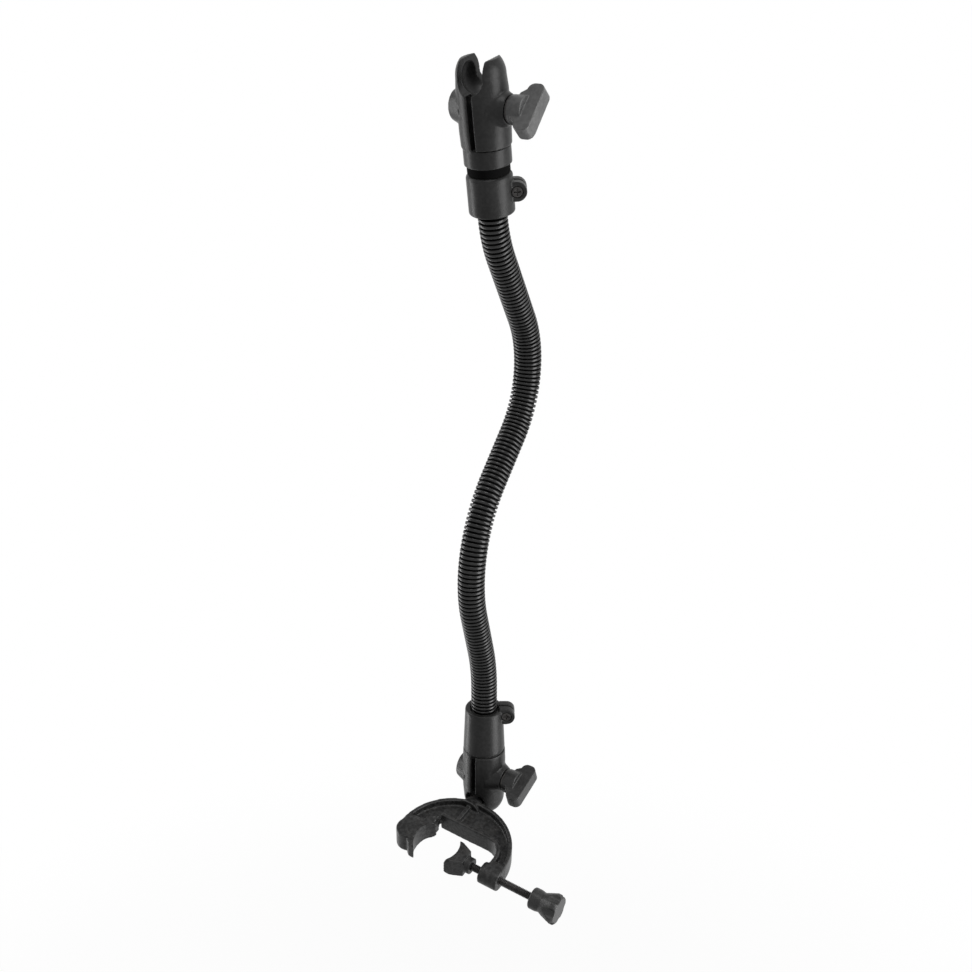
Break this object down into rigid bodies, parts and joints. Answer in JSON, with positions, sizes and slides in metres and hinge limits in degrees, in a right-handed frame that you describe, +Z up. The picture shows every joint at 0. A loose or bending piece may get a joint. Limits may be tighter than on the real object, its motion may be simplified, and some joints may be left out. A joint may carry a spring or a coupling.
{
  "type": "rod clamp mount",
  "caption": "Screw clamp for a rod or tube, with a ball, a bendable corrugated arm and an open ball-socket arm at the top that grips a device's ball",
  "frame": {"origin": "centre of the clamped rod, midway between the jaw and the pad", "axes": "+Z up along the lower arm, +X along the arms' bolts towards their knobs, +Y from the clamp to the ball"},
  "size_m": [0.1527, 0.1608, 0.6305],
  "materials": {
    "cast_black": "textured black coat",
    "black_rubber": "matt rubber",
    "moulded_black": "fine moulded grain",
    "knob_black": "satin moulded",
    "tube_black": "satin corrugated",
    "black_steel": "black oxide",
    "zinc_steel": "zinc plated",
    "brass": "turned",
    "rod_metal": "drawn"
  },
  "bodies": {
    "clamp": {"yoke_frame": "cast_black", "rubber_ball": "black_rubber"},
    "pad": {"swivel_pad": "cast_black"},
    "screw": {"clamp_screw": "black_steel", "clamp_knob": "knob_black", "retaining_ring": "zinc_steel"},
    "arm": {"bendable_rod": "rod_metal", "corrugated_tube": "tube_black", "lower_sleeve": "moulded_black", "upper_collar": "moulded_black", "lower_socket_arm": "moulded_black", "lower_arm_bolt": "zinc_steel", "lower_spring": "zinc_steel", "lower_pinch_screw": "black_steel", "lower_pinch_nut": "zinc_steel", "upper_socket_arm": "moulded_black", "upper_arm_bolt": "zinc_steel", "upper_spring": "zinc_steel", "upper_pinch_screw": "black_steel", "upper_pinch_nut": "zinc_steel"},
    "lower_half": {"lower_moving_half": "moulded_black"},
    "lower_washer": {"lower_washer": "black_steel"},
    "lower_knob": {"lower_wing_knob": "knob_black", "lower_knob_insert": "brass"},
    "upper_half": {"upper_moving_half": "moulded_black"},
    "upper_washer": {"upper_washer": "black_steel"},
    "upper_knob": {"upper_wing_knob": "knob_black", "upper_knob_insert": "brass"}
  },
  "joints": [
    {"name": "ball_tilt", "type": "hinge", "parent": "clamp", "child": "arm", "pos_m": [0, 0.07246, 0.0089], "axis": [1, 0, 0], "range_deg": [-171, 5]},
    {"name": "pad_slide", "type": "slide", "parent": "clamp", "child": "pad", "axis": [-0.9954, -0.0117, 0.0951], "range_m": [-0.0075, 0.0195]},
    {"name": "screw_turn", "type": "hinge", "parent": "pad", "child": "screw", "pos_m": [0, 0, 0], "axis": [-0.9954, -0.0117, 0.0951], "range_deg": [-2300, 5800]},
    {"name": "lower_half_open", "type": "hinge", "parent": "arm", "child": "lower_half", "pos_m": [0.0174, 0.07246, 0.055], "axis": [0, -1, 0], "range_deg": [0, 4.8], "deforming": ["lower_spring"]},
    {"name": "lower_washer_slide", "type": "slide", "parent": "arm", "child": "lower_washer", "axis": [1, 0, 0], "range_m": [0, 0.00254]},
    {"name": "lower_knob_turn", "type": "hinge", "parent": "lower_washer", "child": "lower_knob", "pos_m": [0, 0.07246, 0.0299], "axis": [1, 0, 0], "range_deg": [0, 880]},
    {"name": "upper_half_open", "type": "hinge", "parent": "arm", "child": "upper_half", "pos_m": [0.0174, 0.07571, 0.54945], "axis": [0, 0.9877, 0.1564], "range_deg": [0, 4.8], "deforming": ["upper_spring"]},
    {"name": "upper_washer_slide", "type": "slide", "parent": "arm", "child": "upper_washer", "axis": [1, 0, 0], "range_m": [0, 0.00254]},
    {"name": "upper_knob_turn", "type": "hinge", "parent": "upper_washer", "child": "upper_knob", "pos_m": [0, 0.07178, 0.57425], "axis": [1, 0, 0], "range_deg": [0, 880]}
  ],
  "couplings": [
    {"joint": "screw_turn", "follows": "pad_slide", "rad_per_m": 4947.4},
    {"joint": "lower_knob_turn", "follows": "lower_washer_slide", "rad_per_m": 4947.4},
    {"joint": "lower_half_open", "follows": "lower_washer_slide", "rad_per_m": 27.48},
    {"joint": "upper_knob_turn", "follows": "upper_washer_slide", "rad_per_m": 4947.4},
    {"joint": "upper_half_open", "follows": "upper_washer_slide", "rad_per_m": 27.48}
  ]
}
